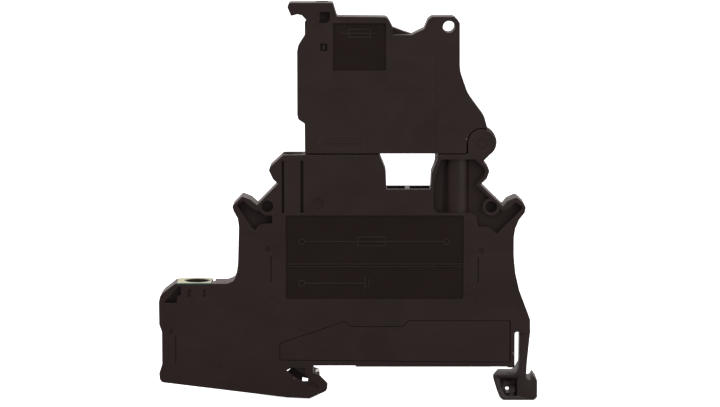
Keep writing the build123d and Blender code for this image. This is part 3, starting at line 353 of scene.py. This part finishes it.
# pieces made of each material
PIECES = {
    "housing": ["housing"],
    "cover": ["rear_cover"],
    "insert": ["foot_bay_cover"],
    "latch": ["rail_foot_latch"],
    "lever": ["lever_front_shell"],
    "lever_rear": ["lever_rear_shell"],
    "tin": ["left_lever_blade", "right_lever_blade", "left_current_bar", "right_current_bar",
            "left_contact_fork", "right_contact_fork", "earth_strip"],
    "spring": ["earth_foot_spring"],
    "zinc": ["left_clamp_sleeve", "right_clamp_sleeve", "pe_clamp_sleeve"],
    "screw": ["left_screw", "right_screw", "pe_screw"],
    "glass": ["fuse_glass_tube"],
    "nickel": ["fuse_cap_left", "fuse_cap_right"],
    "element": ["fuse_wire"],
    "earth": ["earth_marker"],
}
for key, pieces in PIECES.items():
    for piece in pieces:
        slots = NODES[piece].data.materials
        slots.clear()
        slots.append(MATERIALS[key])


def add_object(name, mesh, material):
    """Smooth-shaded object with one material."""
    added = bpy.data.objects.new(name, mesh)
    scene.collection.objects.link(added)
    mesh.materials.append(material)
    for polygon in mesh.polygons:
        polygon.use_smooth = True
    return added


# ------------------------------------------------------------------ rail foot
def bending_foot():
    """Sprung foot, cut across its arm at steps along Z."""
    gap_radius = 0.95 * MM
    closed_radius = 0.998 * MM
    tolerance = 0.02 * MM
    cuts = 15
    cuts_top, cut_step = 6.3, 0.42    # mm

    mesh = bpy.data.meshes.new("rail_foot_bending")
    bm = bmesh.new()
    bm.from_mesh(NODES["rail_foot_latch"].data)
    bmesh.ops.remove_doubles(bm, verts=bm.verts, dist=1e-7)
    # the knuckle stands in for the moulded root: close its running gap
    for vert in bm.verts:
        dx, dz = vert.co.x - KNUCKLE_X, vert.co.z - KNUCKLE_Z
        radius = math.hypot(dx, dz)
        if dz > -tolerance and abs(radius - gap_radius) < tolerance:
            grow = closed_radius / radius
            vert.co.x, vert.co.z = KNUCKLE_X + dx * grow, KNUCKLE_Z + dz * grow
    for i in range(1, cuts + 1):
        z = (cuts_top - i * cut_step) * MM
        bmesh.ops.bisect_plane(bm, geom=bm.verts[:] + bm.edges[:] + bm.faces[:],
                               dist=1e-8, plane_co=(0, 0, z), plane_no=(0, 0, 1))
    bm.normal_update()
    bm.to_mesh(mesh)
    bm.free()

    foot = add_object("rail_foot_bending", mesh, MATERIALS["latch"])
    mesh.set_sharp_from_angle(angle=math.radians(20))
    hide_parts("rail_foot_latch")
    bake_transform(foot)


bending_foot()


# ------------------------------------------------------------------ floor and backdrop
def sweep_paper():
    """White to the camera, a dimmer warm card to everything it lights or mirrors in."""
    m = Material("sweep_paper")
    paper = m.noise(scale=900.0, detail=2, rough=0.5)
    seen = m.node("ShaderNodeLightPath").outputs["Is Camera Ray"]
    white = m.mix(paper, (0.90, 0.90, 0.90), (0.93, 0.93, 0.93))
    # the card glows more towards the back; its range of y is in metres
    card = m.remap(m.axes(m.coord)[1], source=(0.0, 0.12), result=(0.02, 0.72))
    seen_glow = m.math("MULTIPLY", seen, 0.98)
    card_glow = m.math("MULTIPLY", card, m.math("SUBTRACT", 1.0, seen))
    m.set(Base_Color=m.mix(seen, (0.26, 0.22, 0.205), white), Roughness=0.9,
          Emission_Color=m.mix(seen, (1.0, 0.93, 0.93), (1.0, 1.0, 1.0)),
          Emission_Strength=m.math("ADD", seen_glow, card_glow))
    # open from behind and below, so that the object can be seen from every side
    two_sided = m.node("ShaderNodeMixShader")
    sides = (m.node("ShaderNodeNewGeometry").outputs["Backfacing"],
             m.bsdf.outputs[0], m.node("ShaderNodeBsdfTransparent").outputs[0])
    for socket, side in zip(two_sided.inputs, sides):
        m.put(socket, side)
    m.put(m.output.inputs["Surface"], two_sided.outputs[0])
    return m.data


def sweep():
    """Floor that curves up into a back wall (metres)."""
    floor_z = CAD_LO.z - 0.02 * MM
    front_y, wall_y, wall_height = -1.6, 0.55, 1.2
    half_width = 1.6
    bend_radius, steps = 0.25, 24

    profile = [(front_y, floor_z)]    # y, z
    for i in range(steps + 1):
        angle = math.pi / 2 * i / steps
        profile.append((wall_y - bend_radius + bend_radius * math.sin(angle),
                        floor_z + bend_radius - bend_radius * math.cos(angle)))
    profile.append((wall_y, floor_z + wall_height))
    verts = [(x, y, z) for y, z in profile for x in (-half_width, half_width)]
    faces = [(2 * i, 2 * i + 1, 2 * i + 3, 2 * i + 2) for i in range(len(profile) - 1)]
    mesh = bpy.data.meshes.new("sweep")
    mesh.from_pydata(verts, [], faces)
    add_object("sweep", mesh, sweep_paper())


sweep()

# ------------------------------------------------------------------ light
world = bpy.data.worlds.new("studio")
scene.world = world
world.use_nodes = True
background = world.node_tree.nodes["Background"]
background.inputs["Color"].default_value = (1.0, 0.95, 0.93, 1)
background.inputs["Strength"].default_value = 0.19


def place(name, data, location, direction):
    """Add a light or camera that looks along the direction."""
    placed = bpy.data.objects.new(name, data)
    scene.collection.objects.link(placed)
    placed.location = location
    placed.rotation_mode = "QUATERNION"
    placed.rotation_quaternion = direction.to_track_quat("-Z", "Y")
    return placed


LIGHT_TARGET = Vector((-0.010, 0, 0.030))
# name, location, size (both in metres), power in watts
LIGHTS = (
    ("key", (-0.35, -0.45, 0.60), (0.5, 0.5), 1.6),
    ("fill", (0.45, -0.50, 0.22), (0.5, 0.6), 1.1),
    ("top", (0.0, 0.12, 0.7), (0.9, 0.5), 1.3),
    ("side_left", (-0.60, 0.05, 0.12), (0.4, 0.5), 0.7),
    ("side_right", (0.60, 0.05, 0.12), (0.4, 0.5), 0.7),
)
for name, location, size, power in LIGHTS:
    light = bpy.data.lights.new(name, "AREA")
    light.shape = "RECTANGLE"
    light.size, light.size_y = size
    light.energy = power
    place(name, light, location, LIGHT_TARGET - Vector(location))

# ------------------------------------------------------------------ camera
CAMERA_TARGET = Vector((-9.119, -3.1, 29.825)) * MM
CAMERA_DISTANCE = 0.500
CAMERA_ELEVATION = math.radians(7.2)

camera = bpy.data.cameras.new("camera")
camera.sensor_width = 36.0
camera.lens = 139.1
camera.clip_start, camera.clip_end = 0.01, 10
back = Vector((0, -math.cos(CAMERA_ELEVATION), math.sin(CAMERA_ELEVATION)))
scene.camera = place("camera", camera, CAMERA_TARGET + back * CAMERA_DISTANCE, -back)
scene.view_settings.view_transform = "Standard"
scene.view_settings.look = "None"
